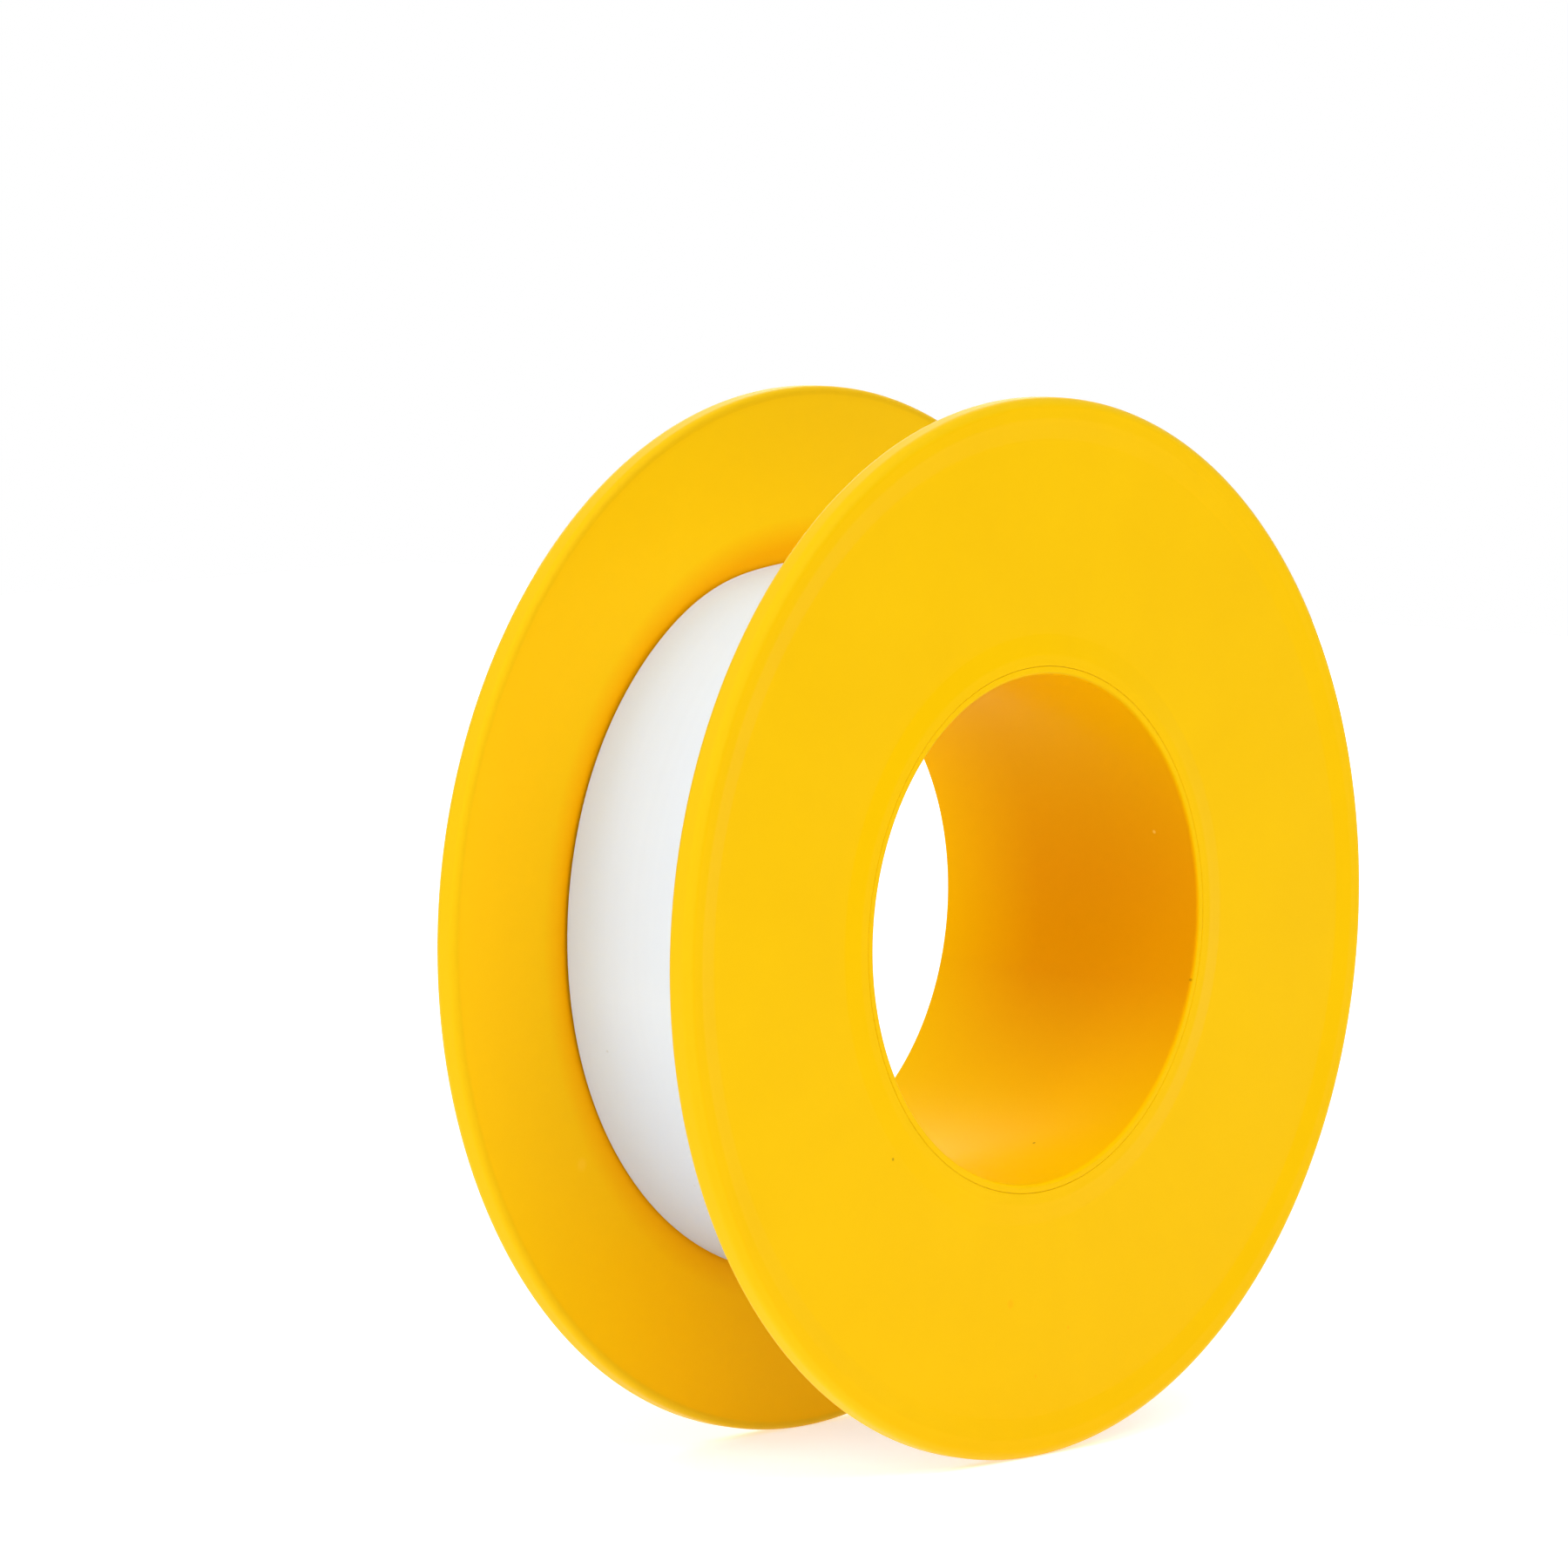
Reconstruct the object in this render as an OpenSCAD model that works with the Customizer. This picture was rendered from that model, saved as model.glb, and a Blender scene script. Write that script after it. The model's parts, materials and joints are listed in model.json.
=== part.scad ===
// Thread seal tape roll: a two-piece plastic reel with one long strip of tape wound on it.
// The reel stands upright on its two rims. Its axis runs along Y through the origin, which is
// the middle of the bore, and the front flange faces -Y.

/* [Flanges] */
// Outside diameter of both flanges
flange_d = 50; // [44:0.5:70]
// Thickness of a flange inside its rim bead
web_t = 1.15; // [0.8:0.05:2]
// Height of the rim bead and the collar above the flange's outer face
bead_h = 0.15; // [0.14:0.01:0.4]
// Width of the rim bead, measured in from the edge
bead_w = 1.05; // [0.9:0.05:2.5]
// Radius that rounds the rim's outer corner
rim_outer_round = 0.45; // [0.1:0.05:0.6]
// Radius that rounds the rim's corner beside the tape
rim_inner_round = 0.35; // [0.1:0.05:0.4]
// Width of the raised collar round the bore
collar_w = 0.6; // [0.4:0.05:2]
// Radius that softens the small steps of the bead and the collar
step_round = 0.07; // [0.02:0.01:0.07]

/* [Hub] */
// Diameter of the bore, which goes over a finger or a spindle
bore_d = 24; // [16:0.1:28]
// Wall of the hub tube under the tape
hub_wall = 0.6; // [0.5:0.05:1.5]
// Step in the hub tube that the front flange seats against
seat_step = 0.2; // [0.1:0.05:0.25]
// Height of the ridge round the hub's end that the front flange snaps over
snap_h = 0.1; // [0.05:0.01:0.15]
// Radius that rounds both mouths of the bore
mouth_round = 0.15; // [0.05:0.05:0.2]
// Size of the small bevels on both sides of the seam round the hub's end
seam_bevel = 0.08; // [0.02:0.01:0.12]

/* [Tape] */
// Width of the tape
tape_w = 12.7; // [9:0.1:25.4]
// Length of the tape on a full roll
tape_len = 7000; // [1000:100:10000]
// Thickness of one layer, as it lies wound tight
layer_t = 0.064; // [0.05:0.001:0.12]
// Angle that the outermost turn covers, from where it leaves the winding to its cut end
turn_angle = 385; // [365:1:400]
// Angle at which the cut end lies, measured from the right-hand side upwards
tail_place = 20; // [0:1:60]
// Angle over which the loose end rises
tail_angle = 16; // [8:1:30]
// Height by which the cut end stands off the roll
tail_lift = 0.5; // [0.1:0.05:1]

/* [Fits] */
// Gap between each edge of the tape and its flange
side_clearance = 0.15; // [0.1:0.05:0.5]
// Gap between the hub tube and the innermost layer of tape
run_clearance = 0.05; // [0.03:0.01:0.1]
// Gap between the hub's end and the front flange that is pressed onto it
press_clearance = 0.01; // [0:0.01:0.03]
// Air between the outermost turn and the layer under it
layer_gap = 0.01; // [0.01:0.005:0.03]

/* [Hidden] */

flange_r = flange_d / 2;
bore_r = bore_d / 2;
hub_r = bore_r + hub_wall;
spigot_r = hub_r - seat_step;
seat_r = spigot_r + press_clearance;
snap_round = 2 * snap_h;
collar_r = seat_r + collar_w;

// Heights along the axis, measured from the middle of the tape towards a flange
inner_face = tape_w / 2 + side_clearance;
web_face = inner_face + web_t;
outer_face = web_face + bead_h;

// The strip's cross-section area, wound up, fills the ring from tape_in_r to tape_out_r
tape_in_r = hub_r + run_clearance;
tape_out_r = sqrt(pow(tape_in_r, 2) + tape_len * layer_t / PI);
turn_pitch = layer_t + layer_gap;
winding_r = tape_out_r - 2 * turn_pitch;

tail_start = turn_angle - tail_angle;

// Steps round the reel, round a small corner and along the outermost turn
ring_steps = 180;
round_steps = 64;
turn_steps = 150;

yellow = [0.99, 0.77, 0.06];
white = [0.92, 0.92, 0.93];

// Lays a shape that was turned about Z along the reel's axis, its +Z side to the front
module along_axis() {
    rotate([90, 0, 0]) children();
}

// A ring turned from the 2D section that is given as its child
module turned_ring() {
    rotate_extrude($fn = ring_steps) children();
}

// An upright rectangle from x0 to x1 and from y0 to y1
module block(x0, x1, y0, y1) {
    translate([x0, y0]) square([x1 - x0, y1 - y0]);
}

// What a rounding of radius r takes off an outside corner at x, y. The signs sx and sy point
// from the corner to the middle of the round.
module corner_round(x, y, sx, sy, r) {
    difference() {
        translate([x, y]) square(2 * r, center = true);
        translate([x + sx * r, y + sy * r]) circle(r, $fn = round_steps);
    }
}

// What a rounding of radius r adds to the foot of a step at x, y
module foot_round(x, y, sx, sy, r) {
    difference() {
        translate([x + sx * r / 2, y + sy * r / 2]) square(r, center = true);
        translate([x + sx * r, y + sy * r]) circle(r, $fn = round_steps);
    }
}

// A bevel of size c that comes off a corner at x, y
module corner_bevel(x, y, c) {
    translate([x, y]) rotate(45) square(c * sqrt(2), center = true);
}

// The round of the snap ridge, grown by some air for the groove that it sits in
module snap_ring(air) {
    translate([spigot_r + snap_h - snap_round, inner_face + web_t / 2])
        circle(snap_round + air, $fn = round_steps);
}

// Section of a flange, radius across and height up, from its inner face to its outer one
module flange_section(hole_r) {
    bead_in = flange_r - bead_w;
    difference() {
        union() {
            block(hole_r, flange_r, inner_face, web_face);
            block(bead_in, flange_r, inner_face, outer_face);
            block(hole_r, collar_r, inner_face, outer_face);
            foot_round(bead_in, web_face, -1, 1, step_round);
            foot_round(collar_r, web_face, 1, 1, step_round);
        }
        corner_round(flange_r, outer_face, -1, -1, rim_outer_round);
        corner_round(flange_r, inner_face, -1, 1, rim_inner_round);
        corner_round(bead_in, outer_face, 1, -1, step_round);
        corner_round(collar_r, outer_face, -1, -1, step_round);
    }
}

// Section of the hub tube, with the thinner end that takes the front flange
module hub_section() {
    difference() {
        union() {
            block(bore_r, hub_r, -outer_face, inner_face);
            block(bore_r, spigot_r, -outer_face, outer_face);
            intersection() {
                snap_ring(0);
                block(bore_r, seat_r + snap_h, inner_face, web_face);
            }
        }
        corner_round(bore_r, outer_face, 1, -1, mouth_round);
        corner_round(bore_r, -outer_face, 1, 1, mouth_round);
        corner_bevel(spigot_r, outer_face, seam_bevel);
    }
}

// The rear flange and the hub tube are one moulding
module rear_flange_hub() {
    color(yellow) along_axis() turned_ring() {
        hub_section();
        mirror([0, 1]) flange_section(hub_r);
    }
}

// The front flange is pressed onto the hub's end, up to the step, once the tape is wound
module front_flange() {
    color(yellow) along_axis() turned_ring() difference() {
        flange_section(seat_r);
        corner_bevel(seat_r, outer_face, seam_bevel);
        snap_ring(press_clearance);
    }
}

// All layers of the tape but the outermost
module tape_winding() {
    color(white) along_axis() turned_ring() block(tape_in_r, winding_r, -tape_w / 2, tape_w / 2);
}

// Radius of the outermost turn's inner side, a degrees on from where it leaves the winding:
// it climbs one layer a turn, and its loose end rises in a smooth S
function tail_rise(a) = max(0, min(1, (a - tail_start) / tail_angle));
function turn_radius(a) = winding_r + layer_gap + turn_pitch * a / 360
    + tail_lift * pow(tail_rise(a), 2) * (3 - 2 * tail_rise(a));

// A point at radius r, a degrees on in the outermost turn, which ends at tail_place
function turn_point(r, a) = r * [cos(tail_place + turn_angle - a), sin(tail_place + turn_angle - a)];

// The outermost turn, a single flat strip with its loose cut end
module tape_outer_turn() {
    angles = [for (i = [0 : turn_steps]) i * turn_angle / turn_steps];
    inner_side = [for (a = angles) turn_point(turn_radius(a), a)];
    back = [for (i = [turn_steps : -1 : 0]) angles[i]];
    outer_side = [for (a = back) turn_point(turn_radius(a) + layer_t, a)];
    color(white) along_axis() linear_extrude(tape_w, center = true)
        polygon(concat(inner_side, outer_side));
}

rear_flange_hub();
front_flange();
tape_winding();
tape_outer_turn();
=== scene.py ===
"""Thread seal tape roll: a yellow plastic reel with a long strip of white tape wound on it.

All lengths are in metres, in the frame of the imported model: the reel's axis lies along Y through
the origin, the front flange faces -Y and the reel stands on its two rims, with +Z up.
"""

import json
from math import pi, radians

import bpy
import numpy as np
from mathutils import Matrix, Vector

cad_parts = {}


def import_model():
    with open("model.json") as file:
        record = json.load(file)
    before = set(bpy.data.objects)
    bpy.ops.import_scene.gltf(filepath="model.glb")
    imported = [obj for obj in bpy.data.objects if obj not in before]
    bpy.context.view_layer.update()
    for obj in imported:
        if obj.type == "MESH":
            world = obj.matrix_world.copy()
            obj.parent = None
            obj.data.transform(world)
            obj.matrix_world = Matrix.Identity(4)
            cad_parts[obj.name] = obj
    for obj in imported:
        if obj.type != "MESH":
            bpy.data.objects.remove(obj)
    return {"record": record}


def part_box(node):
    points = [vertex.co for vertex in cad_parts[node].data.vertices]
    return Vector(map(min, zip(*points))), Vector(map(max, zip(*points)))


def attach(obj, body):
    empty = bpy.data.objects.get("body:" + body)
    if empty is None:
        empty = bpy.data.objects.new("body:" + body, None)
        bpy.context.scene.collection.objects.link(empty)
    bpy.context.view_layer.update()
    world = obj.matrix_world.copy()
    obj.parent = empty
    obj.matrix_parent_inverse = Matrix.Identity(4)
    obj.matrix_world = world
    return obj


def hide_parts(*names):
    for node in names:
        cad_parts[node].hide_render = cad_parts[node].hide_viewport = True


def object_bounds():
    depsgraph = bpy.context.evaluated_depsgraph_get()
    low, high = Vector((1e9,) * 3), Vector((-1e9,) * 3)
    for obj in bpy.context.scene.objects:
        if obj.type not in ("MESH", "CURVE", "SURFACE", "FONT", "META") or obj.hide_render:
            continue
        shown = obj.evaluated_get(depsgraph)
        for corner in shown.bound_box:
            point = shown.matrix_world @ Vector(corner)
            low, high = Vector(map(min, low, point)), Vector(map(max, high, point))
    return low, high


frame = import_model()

cad_low, cad_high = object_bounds()

MM = 0.001

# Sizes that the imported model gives. Heights are measured along the axis from the middle of the
# tape towards a flange.
bore = next(m for m in frame["record"]["mounts"] if m["name"] == "bore")
bore_r = bore["dims"]["r_mm"] * MM
flange_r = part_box("front_flange")[1].x
inner_face = -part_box("front_flange")[1].y
outer_face = -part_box("front_flange")[0].y
winding_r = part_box("tape_winding")[1].x
tape_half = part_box("tape_winding")[1].y

# Sizes of the reel's smaller forms, as the solids have them
bead_h = 0.15 * MM
bead_w = 1.05 * MM
collar_w = 0.6 * MM
hub_wall = 0.6 * MM
seat_step = 0.2 * MM
press_clearance = 0.01 * MM
snap_h = 0.1 * MM
snap_reach = 0.17 * MM
mouth_round = 0.15 * MM
rim_outer_round = 0.45 * MM
rim_inner_round = 0.35 * MM

# Forms that are finer here than in the solids: a narrower bevel at the seam, long gentle slopes
# beside the bead and the collar, and small rounds along the other edges
seam_bevel = 0.02 * MM
slope_start = 0.07 * MM
slope_run = 0.9 * MM
slope_round = 0.9 * MM
edge_round = 0.03 * MM
fine_round = 0.02 * MM

# Sizes of the tape, as the solids have them
run_clearance = 0.05 * MM
layer_t = 0.064 * MM
layer_gap = 0.01 * MM
turn_angle = radians(385)
tail_place = radians(20)
tail_angle = radians(16)
tail_lift = 0.5 * MM

# How the moulded flanges depart from flat ones
warp = 0.03 * MM
sink = 0.012 * MM
sink_wave = 11 * MM

# How the wound layers depart from a true cylinder and from level sides. slack_across shrinks the
# heights that the slack is worked out from, which makes its waves longer across the tape.
slack = 0.02 * MM
slack_wave = 14 * MM
slack_across = 0.6
dent_depth = 0.6 * MM
dent_at = radians(95)
dent_spread = radians(11.5)
layer_wander = 0.03 * MM
layer_waves = 3
layer_wave_share = 0.3

# How the outermost turn departs from a straight strip: its wandering edges, its narrower end
# with a curl and creases, and its cut with a slant and two sizes of teeth
edge_wander = 0.05 * MM
edge_wave = 17 * MM
neck = 0.25 * MM
curl_h = 0.35 * tail_lift
crease_h = 0.08 * tail_lift
creases_across = 9
creases_along = 40
cut_depth = 0.35 * MM
cut_slant = 0.5
cut_teeth = [(0.12, 23), (0.08, 51)]

# Steps round the reel, along a rounded corner, along the outermost turn and across the tape, and
# the longest step on a straight stretch of a section
ring_steps = 288
corner_steps = 8
turn_steps = 640
width_steps = 36
straight_step = 0.5 * MM

# Edges that turn by more than this are shaded sharp
sharp_angle = radians(40)

web_face = outer_face - bead_h
hub_r = bore_r + hub_wall
spigot_r = hub_r - seat_step
seat_r = spigot_r + press_clearance
collar_r = seat_r + collar_w
bead_r = flange_r - bead_w
snap_at = (inner_face + web_face) / 2
tape_in_r = hub_r + run_clearance
turn_pitch = layer_t + layer_gap
layers = round((winding_r - tape_in_r) / turn_pitch)

# Colours of the plastic, in linear light: outside, at the rims, between the flanges and in the bore.
# Only the outside ones are the plastic's own colour. The others are painted light and shade between the
# flanges and in the bore, partly standing in for light that passes through the real plastic, and at the
# rims a painted highlight.
plastic_light = (0.85, 0.505, 0.0, 1)
plastic_deep = (0.83, 0.485, 0.0, 1)
# A paler tone at the rim's outer rounding: a painted highlight
rim_painted_highlight = (0.825, 0.51, 0.006, 1)
# Painted light and shade between the flanges: lighter high up, deeper low down and at the left side,
# and a painted shadow beside the tape
inner_high = (0.97, 0.615, 0.004, 1)
inner_side = (0.92, 0.55, 0.003, 1)
inner_low = (1.0, 0.55, 0.0, 1)
inner_shade_by_tape = (0.96, 0.45, 0.0, 1)
# Painted light and shade of the bore: deep shade in its middle, a different tone high up, lighter at
# the rear and lightest low down
bore_middle = (0.82, 0.365, 0.0, 1)
bore_high = (0.77, 0.405, 0.0, 1)
bore_rear = (0.875, 0.485, 0.0, 1)
bore_low = (0.92, 0.555, 0.0, 1)
bore_low_rear = (0.965, 0.63, 0.0, 1)
gloss_tint = (1.0, 0.62, 0.12, 1)

# Colours of the tape. All are tinted blue, a painted tint that cancels the yellow light which the
# flanges throw on it. The edge tone is a painted cooler shade near the flanges, and the dull tone is
# painted shade on the underside.
film_white = (0.73, 0.84, 0.985, 1)
film_shade = (0.71, 0.82, 0.97, 1)
film_edge_shade = (0.665, 0.795, 1.0, 1)
film_underside_shade = (0.535, 0.65, 0.85, 1)

# Colours of small marks
speck_dark = (0.35, 0.16, 0.005, 1)
speck_faint = (0.90, 0.42, 0.0, 1)
speck_pale = (1.0, 0.68, 0.12, 1)
speck_cloudy = (1.0, 0.60, 0.02, 1)
film_speck = (0.42, 0.45, 0.48, 1)

# Small marks in the plastic and on the tape: place in millimetres, size and colour. A mark is
# full up to speck_core of its size.
plastic_specks = [
    (-10.46, -7.65, -9.81, 0.10, speck_dark),
    (-1.86, -7.65, -17.52, 0.28, speck_faint),
    (2.43, -7.65, -19.11, 0.12, speck_faint),
    (-0.04, -7.65, -21.15, 0.12, speck_faint),
    (11.58, -7.72, -3.36, 0.10, speck_dark),
    (4.98, -3.47, -10.92, 0.10, speck_dark),
    (11.44, -5.57, 3.62, 0.12, speck_pale),
    (-16.20, 6.50, -10.70, 0.40, speck_cloudy),
]
tape_specks = [
    (-16.61, 4.55, -5.18, 0.09, film_speck),
    (-12.87, 2.45, -11.71, 0.09, film_speck),
]
plastic_speck_share = 0.7
tape_speck_share = 0.35
speck_core = 0.4

# Bands over which the tones change, in millimetres: from an inner face into the flange, up and
# across the inner faces, out from the tape, and out at the rim
into_flange = (inner_face / MM + 0.1, web_face / MM - 0.5)
up_inner_face = (-16.0, -4.0)
across_inner_face = (-21.0, -9.0)
out_from_tape = (winding_r / MM + 0.2, winding_r / MM + 1.6)
out_to_rim = ((flange_r - 2 * rim_inner_round) / MM, flange_r / MM)
round_rim = ((flange_r - rim_outer_round) / MM, (flange_r - rim_outer_round) / MM + 0.2)

# The same for the bore: out from its wall, up its lower and its upper part, and along it
out_from_bore = (bore_r / MM + 0.02, bore_r / MM + 0.15)
up_low_bore = (-0.95 * bore_r / MM, -0.3 * bore_r / MM)
up_high_bore = (0.1 * bore_r / MM, 0.75 * bore_r / MM)
up_whole_bore = (-0.9 * bore_r / MM, 0.6 * bore_r / MM)
along_bore_middle = (-2.0, 2.0)
along_bore_rear = (2.0, outer_face / MM)

# The same for the tape: from its middle to an edge, and up its underside
to_film_edge = (2.0, tape_half / MM)
up_underside = (-winding_r / MM, -0.15 * winding_r / MM)

# Grain of each finish: how fine its noise is, and how detailed
cloud_grain = (0.16, 3.0)
flow_grain = (9.0, 3.0)
fine_grain = (5.0, 4.0)
peel_grain = (1.4, 2.0)
line_grain = (1.0, 4.0)
film_cloud_grain = (0.25, 3.0)
crease_grain = (1.0, 2.0)
patch_grain = (0.5, 3.0)

# What each tone and relief is mixed from: its shares of clouds and flow lines, of lines and
# clouds, of rings and patches, of fine grain and peel, and of lines and creases
plastic_shares = (0.7, 0.3)
film_shares = (0.5, 0.5)
layers_shares = (0.2, 1.0)
plastic_relief_shares = (0.1, 1.0)
film_relief_shares = (0.4, 1.0)

# Bands of that mix, about 0.5, over which a tone goes from its first colour to its second, and
# the band of plain noise over which a roughness does
plastic_band = (0.3, 0.7)
film_band = (0.35, 0.65)
layers_band = (0.3, 0.8)
roughness_band = (0.3, 0.7)

# How far the inner faces' tone covers the flange, on the web and at the rim
inner_cover = (1.0, 0.5)

# Pace of the film's lines and creases along the strip and across it
line_stretch = (0.03, 2.2, 1.0)
crease_stretch = (0.5, 0.12, 1.0)

# Roughness and gloss, the bore's gloss low down and high up, and the relief of the grain
face_roughness = 0.34
bore_roughness = 0.28
fine_roughness = 0.08
film_roughness = (0.42, 0.54)
layers_roughness = (0.5, 0.6)
face_gloss = 0.05
bore_gloss = (0.03, 0.02)
film_gloss = 0.4
grain_relief = (0.2, 0.02 * MM)
layers_relief = (0.3, 0.01 * MM)

# The photograph's camera
camera_azimuth = -49.415
camera_elevation = 5.454
camera_lens = 243.793
camera_sensor = 36
camera_reach = 498.205 * MM
camera_clip = (0.01, 20)
aim_right = 11.958 * MM
aim_down = 6.856 * MM

# Light: the surround, four large soft lamps in front, to the left and behind, and the floor. A
# lamp has a direction and a level.
dome_level = 0.16
lamps = {
    "front_lamp": ((0, -0.63, 0.77), 0.725),
    "left_lamp": ((-0.7, -0.05, 0.7), 0.36),
    "back_lamp": ((-0.6, 0.45, 0.66), 0.38),
    "far_lamp": ((0.5, 0.75, 0.43), 0.35),
}
lamp_distance = 0.8
lamp_size = 0.7
table_level = 0.4
floor_glow = 0.45
floor_shade = 0.95
floor_roughness = 0.9
floor_half = 0.4


def unit(vectors):
    """Vectors divided by their length."""
    return vectors / np.linalg.norm(vectors, axis=-1, keepdims=True)


def smooth_step(share):
    """Rises from 0 to 1 as share does, by 3 s^2 - 2 s^3, and stays level outside."""
    s = np.clip(share, 0, 1)
    return s * s * (3 - 2 * s)


def unevenness(points, wavelength, seed, waves=9):
    """Smooth random values of about -1 to 1: the sum of plane waves of one wavelength, each with
    its own random direction and phase, divided by the root of their number."""
    draw = np.random.default_rng(seed)
    direction = unit(draw.normal(size=(waves, 3)))
    phase = draw.uniform(0, 2 * pi, waves)
    return np.sin(points @ direction.T * (2 * pi / wavelength) + phase).sum(-1) / waves**0.5


def rounded_outline(corners):
    """Closed outline through corners (radius, height, round), as rows of radius and height.

    A corner's arc touches both of its sides. With h half the angle between them, it starts
    round / tan(h) from the corner, its middle lies round / sin(h) from the corner on the
    bisector, and it sweeps a = pi - 2 h. Its point at share s is the middle plus the directions to
    the arc's two ends, weighted by sin((1 - s) a) / sin(a) and sin(s a) / sin(a), times the round.
    A straight stretch has a point close to each arc, which keeps its shading flat, and even
    points between, no further apart than straight_step."""
    corner, rounds = np.array([c[:2] for c in corners]), np.array([c[2] for c in corners])
    to_last = unit(np.roll(corner, 1, axis=0) - corner)
    to_next = unit(np.roll(corner, -1, axis=0) - corner)
    half = np.arccos(np.clip((to_last * to_next).sum(1), -1, 1)) / 2
    reach = (rounds / np.tan(half))[:, None]
    start, end = corner + to_last * reach, corner + to_next * reach
    middle = corner + unit(to_last + to_next) * (rounds / np.sin(half))[:, None]
    share = np.linspace(0, 1, corner_steps + 1)[:, None]
    outline = []
    for i in range(len(corner)):
        sweep = pi - 2 * half[i]
        first, last = start[i] - middle[i], end[i] - middle[i]
        weights = np.sin((1 - share) * sweep) * first + np.sin(share * sweep) * last
        outline.append(middle[i] + weights / np.sin(sweep))
        stretch = start[(i + 1) % len(corner)] - end[i]
        length = np.linalg.norm(stretch)
        guard = min(fine_round, length / 4) / length
        count = max(2, int(np.ceil(length / straight_step)) + 1)
        outline.append(end[i] + np.linspace(guard, 1 - guard, count)[:, None] * stretch)
    return np.concatenate(outline)


def turned(outline):
    """Points of an outline turned about the Y axis, as a grid of outline by ring_steps. A point at
    radius r and height h lies at (r cos a, -h, r sin a) for the angle a."""
    a = np.linspace(0, 2 * pi, ring_steps, endpoint=False)
    r, h = outline[:, 0, None], outline[:, 1, None]
    return np.stack([r * np.cos(a), -h + 0 * a, r * np.sin(a)], axis=-1)


def grid_quads(rows, columns, closed):
    """Quads of a grid whose points are numbered row by row. Where it is closed, its last row and
    its last column are joined to the first ones."""
    open_end = 0 if closed else 1
    i = np.arange(rows - open_end)[:, None]
    j = np.arange(columns - open_end)[None, :]
    i2, j2 = (i + 1) % rows, (j + 1) % columns
    corners = [i * columns + j, i2 * columns + j, i2 * columns + j2, i * columns + j2]
    return np.stack([c + 0 * i + 0 * j for c in corners], axis=-1).reshape(-1, 4)


def closed_volume(points, quads):
    """Volume inside a closed surface of quads, negative where they face inwards: the sum over
    each quad's two triangles of a . (b x c) / 6."""
    a, b, c, d = (points[quads[:, k]] for k in range(4))
    first = np.einsum("ij,ij->i", a, np.cross(b, c))
    second = np.einsum("ij,ij->i", a, np.cross(c, d))
    return (first + second).sum() / 6


def make_piece(name, points, quads, body, node, finish):
    """A closed mesh of points and quads, turned to face outwards, put in place of its node."""
    points = points.reshape(-1, 3)
    if closed_volume(points, quads) < 0:
        quads = quads[:, ::-1]
    mesh = bpy.data.meshes.new(name)
    mesh.vertices.add(len(points))
    mesh.vertices.foreach_set("co", points.astype(np.float32).ravel())
    mesh.loops.add(quads.size)
    mesh.loops.foreach_set("vertex_index", quads.astype(np.int32).ravel())
    mesh.polygons.add(len(quads))
    mesh.polygons.foreach_set("loop_start", np.arange(0, quads.size, 4, dtype=np.int32))
    mesh.update(calc_edges=True)
    mesh.validate()
    mesh.shade_smooth()
    mesh.set_sharp_from_angle(angle=sharp_angle)
    piece = bpy.data.objects.new(name, mesh)
    bpy.context.scene.collection.objects.link(piece)
    mesh.materials.append(finish)
    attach(piece, body)
    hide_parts(node)
    return piece


def moulded(points, seed):
    """A flange's small faults, as moves along the axis. It is warped like a saddle, by warp times
    cos(2 a) at the rim and a smooth step from the collar outwards, and its web is uneven by sink
    times slow waves, which fade out within 1 mm of the collar and of the bead."""
    x, z = points[..., 0], points[..., 2]
    r = np.hypot(x, z)
    out = smooth_step((r - collar_r) / (flange_r - collar_r))
    web = smooth_step((r - collar_r) / MM) * smooth_step((bead_r - r) / MM)
    level = points * (1, 0, 1)
    move = warp * out * (x * x - z * z) / np.maximum(r * r, MM * MM)
    move += sink * web * unevenness(level, sink_wave, seed)
    return points + move[..., None] * np.array([0, 1, 0])


def make_moulding(name, corners, seed, node, finish):
    """A part of the reel, turned from the corners of its section, with its small faults."""
    points = moulded(turned(rounded_outline(corners)), seed)
    quads = grid_quads(*points.shape[:2], closed=True)
    make_piece(name, points, quads, "reel", node, finish)


def flange_corners(side):
    """Corners of a flange's section from its collar, over the web and the rim bead, to its inner
    face, with side 1 for the front flange and -1 for the rear one."""
    return [
        (collar_r - slope_start, side * outer_face, slope_round),
        (collar_r + slope_run, side * web_face, slope_round),
        (bead_r - slope_run, side * web_face, slope_round),
        (bead_r + slope_start, side * outer_face, slope_round),
        (flange_r, side * outer_face, rim_outer_round),
        (flange_r, side * inner_face, rim_inner_round),
    ]


def front_flange(finish):
    """The front flange: a disc with a rim bead, a collar round its hole, bevelled at the seam, and
    a groove inside the hole for the hub's snap ridge."""
    corners = [
        (seat_r, inner_face, edge_round),
        (seat_r, snap_at - snap_reach, fine_round),
        (seat_r + snap_h, snap_at, snap_h),
        (seat_r, snap_at + snap_reach, fine_round),
        (seat_r, outer_face - seam_bevel, fine_round),
        (seat_r + seam_bevel, outer_face, fine_round),
        *flange_corners(1),
    ]
    make_moulding("front_flange_moulding", corners, 3, "front_flange", finish)


def rear_flange_and_hub(finish):
    """The rear flange with the hub tube in one moulding. The tube steps down to a thinner end,
    with a snap ridge round it, that goes through the front flange."""
    corners = [
        (bore_r, -outer_face, mouth_round),
        (bore_r, outer_face, mouth_round),
        (spigot_r - seam_bevel, outer_face, fine_round),
        (spigot_r, outer_face - seam_bevel, fine_round),
        (spigot_r, snap_at + snap_reach, fine_round),
        (spigot_r + snap_h, snap_at, snap_h),
        (spigot_r, snap_at - snap_reach, fine_round),
        (spigot_r, inner_face, fine_round),
        (hub_r, inner_face, fine_round),
        (hub_r, -inner_face, fine_round),
        *reversed(flange_corners(-1)),
    ]
    make_moulding("rear_flange_moulding", corners, 5, "rear_flange_hub", finish)


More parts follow.
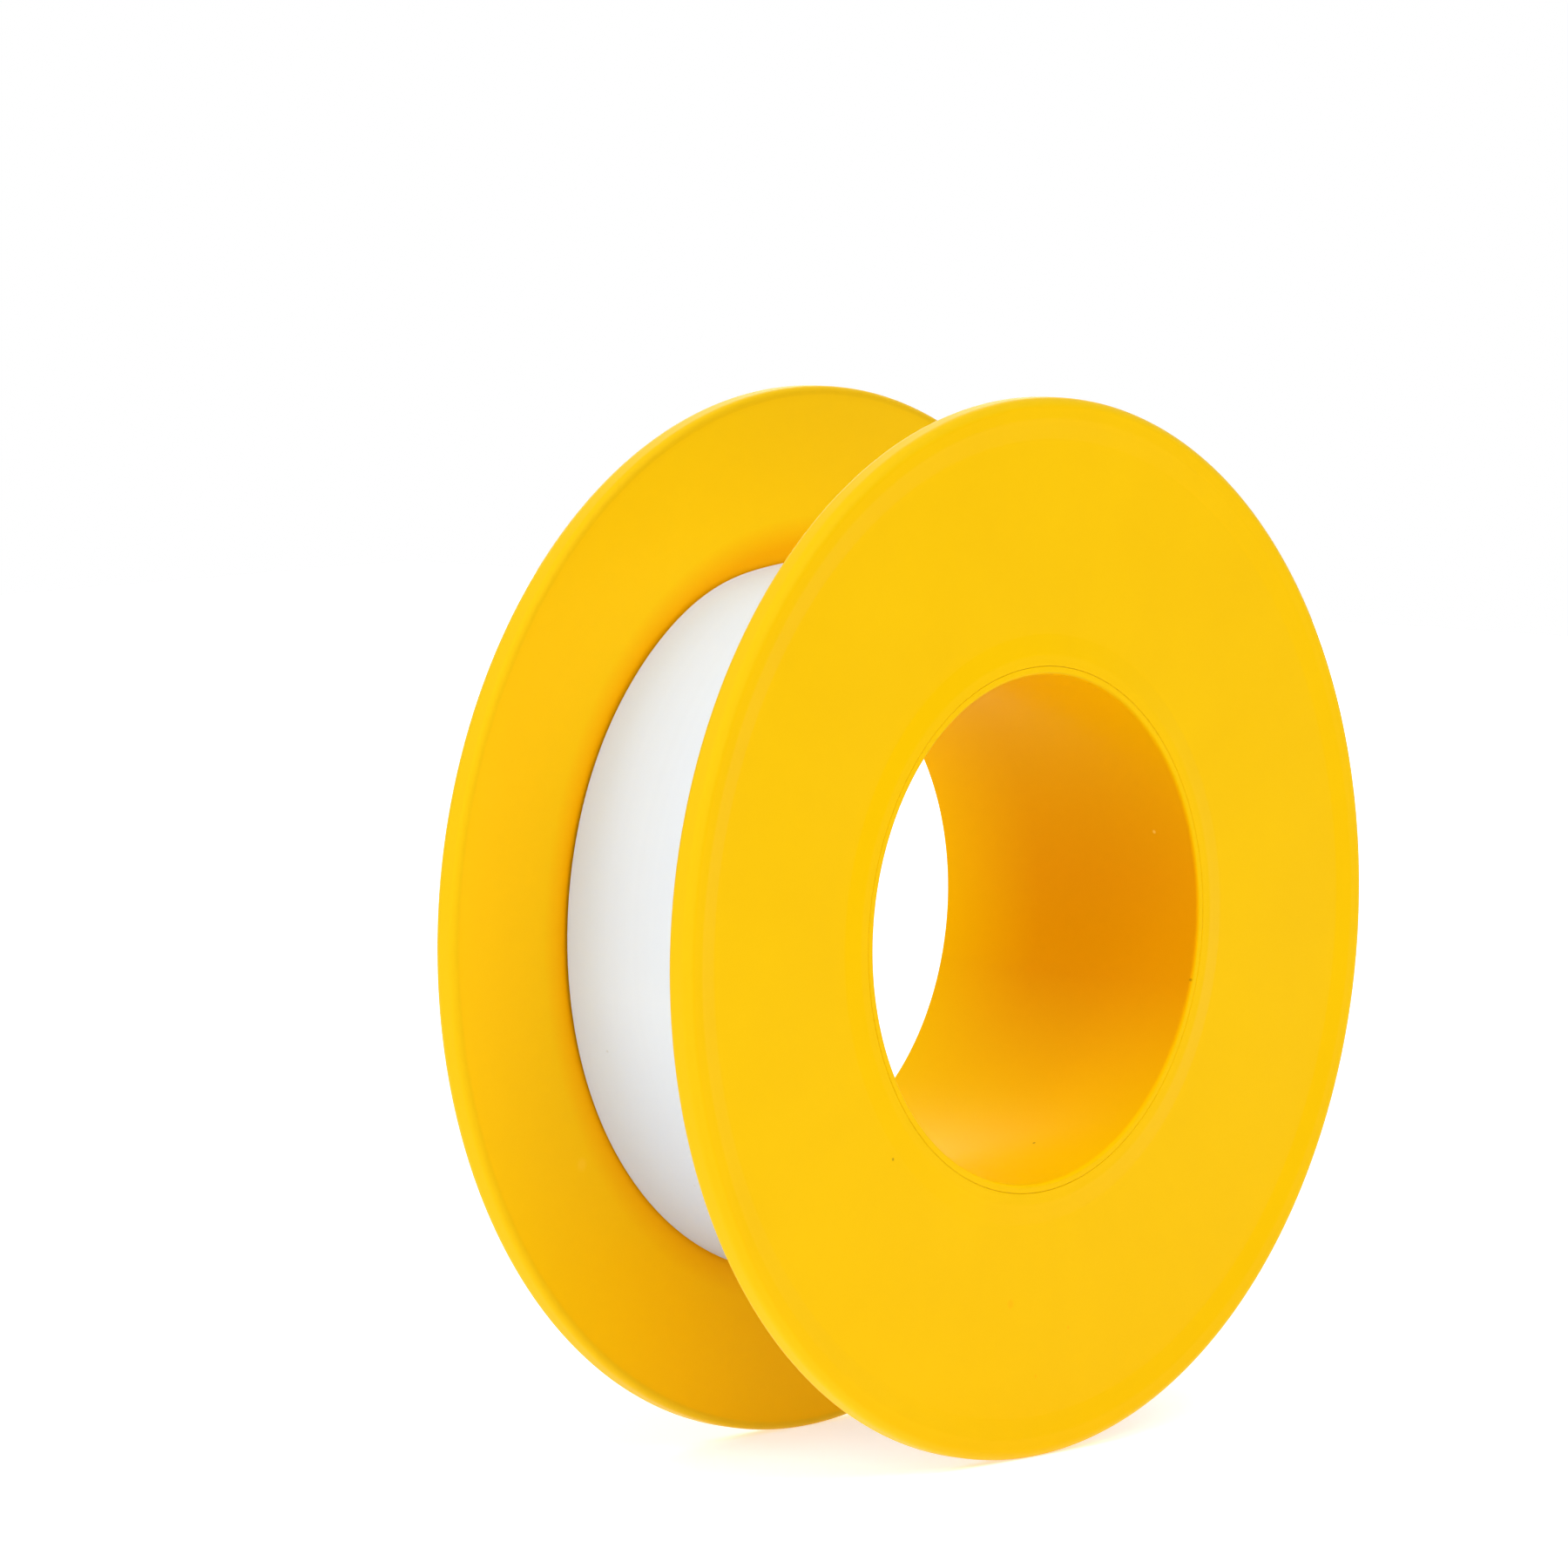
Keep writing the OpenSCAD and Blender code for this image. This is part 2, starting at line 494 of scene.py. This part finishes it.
def wound_slack(angle, height):
    """How far the winding stands proud of a true cylinder at an angle and height: slack times
    slow waves round the roll and across the tape, less one soft dent, whose depth falls off as
    exp(-(away / dent_spread)^2 / 2) round the roll."""
    x, z = np.cos(angle) * winding_r, np.sin(angle) * winding_r
    on_roll = np.stack([x, slack_across * height, z], axis=-1)
    away = np.mod(angle - dent_at + pi, 2 * pi) - pi
    dent = dent_depth * np.exp(-((away / dent_spread) ** 2) / 2)
    return slack * unevenness(on_roll, slack_wave, seed=11) - dent


def tape_winding(finish):
    """All layers but the outermost. Its two sides are stepped like wound layers: each layer's
    edge lies in from tape_half by layer_wander times a random level of its own, mixed by
    layer_wave_share with a wave that runs one to layer_waves times round the roll. The layers
    under the outermost follow its unevenness by the square of their share of the build."""
    draw = np.random.default_rng(7)
    ring_r = np.linspace(tape_in_r, winding_r, layers)
    a = np.linspace(0, 2 * pi, ring_steps, endpoint=False)
    each = (2, layers, 1)
    wave = draw.integers(1, layer_waves + 1, size=each) * a + draw.uniform(0, 2 * pi, each)
    level = draw.uniform(-1, 0, each) * (1 - layer_wave_share)
    level = level - layer_wave_share * (1 + np.cos(wave)) / 2
    edge = tape_half + layer_wander * level
    across = np.linspace(-1, 1, width_steps)[1:-1]
    outside, inside = np.full(len(across), winding_r), np.full(len(across), tape_in_r)
    sides = np.concatenate([ring_r, outside, ring_r[::-1], inside])[:, None] + 0 * a
    face = across[:, None] * tape_half + 0 * a
    heights = np.concatenate([-edge[0], face, edge[1][::-1], -face])
    build = (sides - tape_in_r) / (winding_r - tape_in_r)
    sides = sides + build**2 * (wound_slack(a + 0 * sides, heights) - slack)
    points = np.stack([sides * np.cos(a), -heights, sides * np.sin(a)], axis=-1)
    quads = grid_quads(*points.shape[:2], closed=True)
    make_piece("tape_layers", points, quads, "tape", "tape_winding", finish)


def tape_outer_turn(finish):
    """The outermost turn, an open strip that climbs a layer a turn and ends in a loose, cut end.

    Its radius at angle t along it is the winding's plus layer_gap and the pitch times t / 2 pi,
    plus the winding's own slack, plus tail_lift times rise, a smooth step over tail_angle. Where
    u runs from -1 to 1 across it, the end's edges curl up by curl_h rise^2 u^2, and it creases by
    crease_h rise |u| sin(creases_across u + creases_along t). Its half width is less by
    neck rise^4, and its edges wander. The cut lies back by cut_depth rise^6 times its slant and
    its teeth, the sum of share sin(waves u)."""
    t = np.linspace(0, turn_angle, turn_steps + 1)[:, None]
    across = np.linspace(-1, 1, width_steps + 1)[None, :]
    rise = smooth_step((t - turn_angle + tail_angle) / tail_angle)
    angle = tail_place + turn_angle - t
    along = np.stack([t * winding_r, 0 * t, 0 * t], axis=-1)
    wander = edge_wander * unevenness(along, edge_wave, seed=13)
    height = across * (tape_half - neck * rise**4) + wander * (1 - across**2 / 3)
    curl = curl_h * rise**2 * across**2
    ripple = np.sin(across * creases_across + t * creases_along)
    crease = crease_h * rise * ripple * np.abs(across)
    climb = winding_r + layer_gap + turn_pitch * t / (2 * pi)
    inner_r = climb + tail_lift * rise + curl + crease
    inner_r = inner_r + wound_slack(angle + 0 * across, height)
    cut = cut_slant * across
    for share, waves in cut_teeth:
        cut = cut + share * np.sin(across * waves)
    turned_by = angle + cut_depth * rise**6 * cut / winding_r
    sheets = [
        np.stack([r * np.cos(turned_by), -height, r * np.sin(turned_by)], axis=-1)
        for r in (inner_r + layer_t, inner_r)
    ]
    rows, columns = sheets[0].shape[:2]
    count = rows * columns
    sheet = grid_quads(rows, columns, closed=False)
    rim = np.concatenate([
        np.arange(columns - 1),
        np.arange(rows - 1) * columns + columns - 1,
        np.arange(columns - 1, 0, -1) + (rows - 1) * columns,
        np.arange(rows - 1, 0, -1) * columns,
    ])
    next_rim = np.roll(rim, -1)
    edges = np.stack([rim, next_rim, next_rim + count, rim + count], axis=-1)
    quads = np.concatenate([sheet, sheet[:, ::-1] + count, edges])
    points = np.stack(sheets)
    piece = make_piece("tape_loose_turn", points, quads, "tape", "tape_outer_turn", finish)
    film = np.stack([t * winding_r + 0 * across, height + 0 * t], axis=-1) / MM
    lay_film_map(piece, np.stack([film, film]).reshape(-1, 2))


def lay_film_map(piece, film):
    """UV map of the strip: its length and its height across in millimetres."""
    mesh = piece.data
    corner = np.empty(len(mesh.loops), dtype=np.int32)
    mesh.loops.foreach_get("vertex_index", corner)
    layer = mesh.uv_layers.new(name="film")
    layer.data.foreach_set("uv", film[corner].astype(np.float32).ravel())


def add_node(tree, kind, values=(), **settings):
    """A node of a kind, with its settings, and with its inputs set or linked by name or number."""
    node = tree.nodes.new("ShaderNode" + kind)
    for key, value in settings.items():
        setattr(node, key, value)
    for key, value in dict(values).items():
        if isinstance(value, bpy.types.NodeSocket):
            tree.links.new(value, node.inputs[key])
        else:
            node.inputs[key].default_value = value
    return node


def math_node(tree, operation, *values):
    """Output of a Math node that works on values or sockets."""
    return add_node(tree, "Math", dict(enumerate(values)), operation=operation).outputs[0]


def vector_node(tree, operation, *values):
    """Outputs of a Vector Math node that works on vectors or sockets."""
    return add_node(tree, "VectorMath", dict(enumerate(values)), operation=operation).outputs


def mixed(tree, shares, first, second):
    """Sum of two values, each times its own share."""
    parts = [math_node(tree, "MULTIPLY", value, share) for value, share in zip((first, second), shares)]
    return math_node(tree, "ADD", *parts)


def map_range(tree, value, low, high, to_low, to_high):
    """Output of a Map Range node, clamped."""
    values = {"Value": value, "From Min": low, "From Max": high, "To Min": to_low, "To Max": to_high}
    return add_node(tree, "MapRange", values).outputs["Result"]


def rising(tree, value, low, high):
    """0 up to low, 1 from high on, and even between."""
    return map_range(tree, value, low, high, 0.0, 1.0)


def falling(tree, value, low, high):
    """1 up to low, 0 from high on, and even between."""
    return map_range(tree, value, low, high, 1.0, 0.0)


def mix_colour(tree, factor, first, second):
    """Output of a Mix node for colours: first at factor 0 and second at factor 1."""
    values = {0: factor, 6: first, 7: second}
    return add_node(tree, "Mix", values, data_type="RGBA").outputs[2]


def noise(tree, vector, fineness, detail):
    """Value of a Noise texture, about 0.5."""
    values = {"Vector": vector, "Scale": fineness, "Detail": detail}
    return add_node(tree, "TexNoise", values).outputs["Fac"]


def stretched(tree, vector, by):
    """A vector scaled by its own factor along each axis."""
    return add_node(tree, "Mapping", {"Vector": vector, "Scale": by}).outputs["Vector"]


def in_millimetres(tree):
    """Object coordinates in millimetres."""
    return stretched(tree, add_node(tree, "TexCoord").outputs["Object"], (1 / MM,) * 3)


def length_of(tree, vector):
    """Length of a vector."""
    return vector_node(tree, "LENGTH", vector)["Value"]


def off_axis(tree, place):
    """The vector straight out from the reel's axis to a place."""
    return vector_node(tree, "MULTIPLY", place, (1.0, 0.0, 1.0))["Vector"]


def with_specks(tree, colour, place, marks, share):
    """A colour with round specks mixed in by share, each given by its place, size and colour."""
    for x, y, z, size, shade in marks:
        away = vector_node(tree, "DISTANCE", place, (x, y, z))["Value"]
        cover = map_range(tree, away, speck_core * size, size, share, 0.0)
        colour = mix_colour(tree, cover, colour, shade)
    return colour


def add_relief(tree, shader, height, strength, distance):
    """Bump of a height on a shader's normal."""
    values = {"Height": height, "Strength": strength, "Distance": distance}
    tree.links.new(add_node(tree, "Bump", values).outputs["Normal"], shader.inputs["Normal"])


def new_finish(name):
    """A node material with its tree and its Principled shader."""
    finish = bpy.data.materials.new(name)
    finish.use_nodes = True
    return finish, finish.node_tree, finish.node_tree.nodes["Principled BSDF"]


def inner_face_shading(tree, across, up, radius):
    """Painted light and shade of a flange's inner face: lighter high up, deeper low down and at the
    left side, and a painted shadow by the tape.
    """
    colour = mix_colour(tree, falling(tree, up, *up_inner_face), inner_high, inner_low)
    at_side = falling(tree, across, *across_inner_face)
    colour = mix_colour(tree, at_side, colour, inner_side)
    shade_by_tape = falling(tree, radius, *out_from_tape)
    return mix_colour(tree, shade_by_tape, colour, inner_shade_by_tape)


def bore_shading(tree, along, up):
    """Painted light and shade of the bore's wall: deep shade in its middle, a different tone high up,
    lighter towards the rear mouth and lightest low down, where light falls in.
    """
    colour = mix_colour(tree, rising(tree, up, *up_high_bore), bore_middle, bore_high)
    colour = mix_colour(tree, rising(tree, along, *along_bore_rear), colour, bore_rear)
    lowest = mix_colour(tree, rising(tree, along, *along_bore_middle), bore_low, bore_low_rear)
    return mix_colour(tree, falling(tree, up, *up_low_bore), colour, lowest)


def reel_plastic():
    """Injection-moulded polypropylene, yellow and satin: faint clouds and flow lines in the colour,
    painted light and shade between the flanges and in the bore, a painted highlight at the rims, a few
    specks, and a smoother, less glossy bore."""
    finish, tree, shader = new_finish("reel_plastic")
    place = in_millimetres(tree)
    across, along, up = add_node(tree, "SeparateXYZ", {"Vector": place}).outputs
    out = off_axis(tree, place)
    radius = length_of(tree, out)

    clouds = noise(tree, place, *cloud_grain)
    flow = noise(tree, vector_node(tree, "NORMALIZE", out)["Vector"], *flow_grain)
    tone = rising(tree, mixed(tree, plastic_shares, clouds, flow), *plastic_band)
    colour = mix_colour(tree, tone, plastic_deep, plastic_light)
    # Painted light and shade on the inner faces between the flanges
    between = falling(tree, math_node(tree, "ABSOLUTE", along), *into_flange)
    on_web = map_range(tree, radius, *out_to_rim, *inner_cover)
    inner = inner_face_shading(tree, across, up, radius)
    colour = mix_colour(tree, math_node(tree, "MULTIPLY", between, on_web), colour, inner)
    # Painted highlight on the rim's outer rounding
    colour = mix_colour(tree, rising(tree, radius, *round_rim), colour, rim_painted_highlight)
    # Painted light and shade in the bore
    in_bore = falling(tree, radius, *out_from_bore)
    colour = mix_colour(tree, in_bore, colour, bore_shading(tree, along, up))
    colour = with_specks(tree, colour, place, plastic_specks, plastic_speck_share)
    tree.links.new(colour, shader.inputs["Base Color"])

    fine = noise(tree, place, *fine_grain)
    satin = map_range(tree, in_bore, 0.0, 1.0, face_roughness, bore_roughness)
    roughness = mixed(tree, (1.0, fine_roughness), satin, fine)
    tree.links.new(roughness, shader.inputs["Roughness"])
    wall_gloss = map_range(tree, up, *up_whole_bore, *bore_gloss)
    gloss = map_range(tree, in_bore, 0.0, 1.0, face_gloss, wall_gloss)
    tree.links.new(gloss, shader.inputs["Specular IOR Level"])
    shader.inputs["Specular Tint"].default_value = gloss_tint
    peel = noise(tree, place, *peel_grain)
    add_relief(tree, shader, mixed(tree, plastic_relief_shares, fine, peel), *grain_relief)
    return finish


def tape_film():
    """Unsintered film of the tape's face: soft white and waxy, with faint calender lines along its
    length, slight clouds, a painted cooler shade along both edges near the flanges, painted shade on
    its underside and a couple of specks."""
    finish, tree, shader = new_finish("tape_film")
    film = add_node(tree, "TexCoord").outputs["UV"]
    place = in_millimetres(tree)

    lines = noise(tree, stretched(tree, film, line_stretch), *line_grain)
    clouds = noise(tree, film, *film_cloud_grain)
    tone = rising(tree, mixed(tree, film_shares, lines, clouds), *film_band)
    colour = mix_colour(tree, tone, film_shade, film_white)
    height = add_node(tree, "SeparateXYZ", {"Vector": film}).outputs["Y"]
    # Painted cooler, darker shade along both edges, against the yellow light that the flanges throw
    # there
    edge_shade = rising(tree, math_node(tree, "ABSOLUTE", height), *to_film_edge)
    colour = mix_colour(tree, edge_shade, colour, film_edge_shade)
    # Painted shade on the tape's underside, darker towards the bottom
    up = add_node(tree, "SeparateXYZ", {"Vector": place}).outputs["Z"]
    colour = mix_colour(tree, falling(tree, up, *up_underside), colour, film_underside_shade)
    colour = with_specks(tree, colour, place, tape_specks, tape_speck_share)
    tree.links.new(colour, shader.inputs["Base Color"])

    roughness = map_range(tree, lines, *roughness_band, *film_roughness)
    tree.links.new(roughness, shader.inputs["Roughness"])
    shader.inputs["Specular IOR Level"].default_value = film_gloss
    creases = noise(tree, stretched(tree, film, crease_stretch), *crease_grain)
    add_relief(tree, shader, mixed(tree, film_relief_shares, lines, creases), *grain_relief)
    return finish


def wound_edges():
    """The stacked edges of the tape's layers: white, with fine rings at the layers' pitch."""
    finish, tree, shader = new_finish("wound_edges")
    place = in_millimetres(tree)
    radius = length_of(tree, off_axis(tree, place))
    ring = math_node(tree, "SINE", math_node(tree, "MULTIPLY", radius, 2 * pi * MM / turn_pitch))
    patches = noise(tree, place, *patch_grain)
    tone = rising(tree, mixed(tree, layers_shares, ring, patches), *layers_band)
    tree.links.new(mix_colour(tree, tone, film_shade, film_white), shader.inputs["Base Color"])
    roughness = map_range(tree, patches, *roughness_band, *layers_roughness)
    tree.links.new(roughness, shader.inputs["Roughness"])
    add_relief(tree, shader, ring, *layers_relief)
    return finish


def seen_directly(tree):
    """1 for camera, glossy and transmitted rays, and 0 for the rays that light the object."""
    path = add_node(tree, "LightPath").outputs
    glossy = math_node(tree, "MAXIMUM", path["Is Camera Ray"], path["Is Glossy Ray"])
    return math_node(tree, "MAXIMUM", glossy, path["Is Transmission Ray"])


def floor():
    """A plain white floor under the rims, lit through like a light table, by table_level for the
    light that it throws up. What looks at it directly sees floor_glow near the reel, which keeps
    the soft shadow, and more further out, which lifts it to white."""
    finish, tree, shader = new_finish("floor")
    shader.inputs["Base Color"].default_value = (floor_shade, floor_shade, floor_shade, 1)
    shader.inputs["Roughness"].default_value = floor_roughness
    shader.inputs["Specular IOR Level"].default_value = 0.0
    shader.inputs["Emission Color"].default_value = (1, 1, 1, 1)
    away = length_of(tree, add_node(tree, "TexCoord").outputs["Object"])
    seen = map_range(tree, away, 2 * flange_r, floor_half, floor_glow, 1.0)
    glow = map_range(tree, seen_directly(tree), 0.0, 1.0, table_level, seen)
    tree.links.new(glow, shader.inputs["Emission Strength"])
    half, z = floor_half, cad_low.z
    corners = [(-half, -half, z), (half, -half, z), (half, half, z), (-half, half, z)]
    mesh = bpy.data.meshes.new("floor")
    mesh.from_pydata(corners, [], [(0, 1, 2, 3)])
    mesh.materials.append(finish)
    plane = bpy.data.objects.new("floor", mesh)
    bpy.context.scene.collection.objects.link(plane)


def world():
    """A surround that looks white and lights the object evenly at dome_level."""
    room = bpy.data.worlds.new("surround")
    room.use_nodes = True
    tree = room.node_tree
    strength = map_range(tree, seen_directly(tree), 0.0, 1.0, dome_level, 1.0)
    tree.links.new(strength, tree.nodes["Background"].inputs["Strength"])
    tree.nodes["Background"].inputs["Color"].default_value = (1, 1, 1, 1)
    bpy.context.scene.world = room


def soft_lamp(name, towards, level):
    """A square lamp that faces the origin. level is the light that it gives a facing surface, as
    a share of what an all-round white surround gives: its power is level pi^2 distance^2."""
    lamp = bpy.data.lights.new(name, "AREA")
    lamp.size = lamp_size
    lamp.energy = level * pi**2 * lamp_distance**2
    holder = bpy.data.objects.new(name, lamp)
    back = Vector(towards).normalized()
    holder.location = back * lamp_distance
    holder.rotation_mode = "QUATERNION"
    holder.rotation_quaternion = back.to_track_quat("Z", "Y")
    bpy.context.scene.collection.objects.link(holder)


def camera():
    """The photograph's view. The camera lies camera_reach behind the plane through the middle of
    the front face, whose middle it sees aim_right and aim_down off its own axis."""
    a, e = radians(camera_azimuth), radians(camera_elevation)
    right = Vector((np.cos(a), np.sin(a), 0))
    back = Vector((np.sin(a) * np.cos(e), -np.cos(a) * np.cos(e), np.sin(e)))
    up = back.cross(right)
    data = bpy.data.cameras.new("camera")
    data.sensor_width = camera_sensor
    data.lens = camera_lens
    data.clip_start, data.clip_end = camera_clip
    holder = bpy.data.objects.new("camera", data)
    face_middle = Vector((0, -outer_face, 0))
    place = face_middle - right * aim_right + up * aim_down + back * camera_reach
    turn = Matrix((right, up, back)).transposed().to_4x4()
    holder.matrix_world = Matrix.Translation(place) @ turn
    bpy.context.scene.collection.objects.link(holder)
    bpy.context.scene.camera = holder


bpy.context.scene.view_settings.view_transform = "Standard"
camera()
world()
for name, (towards, level) in lamps.items():
    soft_lamp(name, towards, level)
floor()

plastic = reel_plastic()
front_flange(plastic)
rear_flange_and_hub(plastic)
tape_winding(wound_edges())
tape_outer_turn(tape_film())
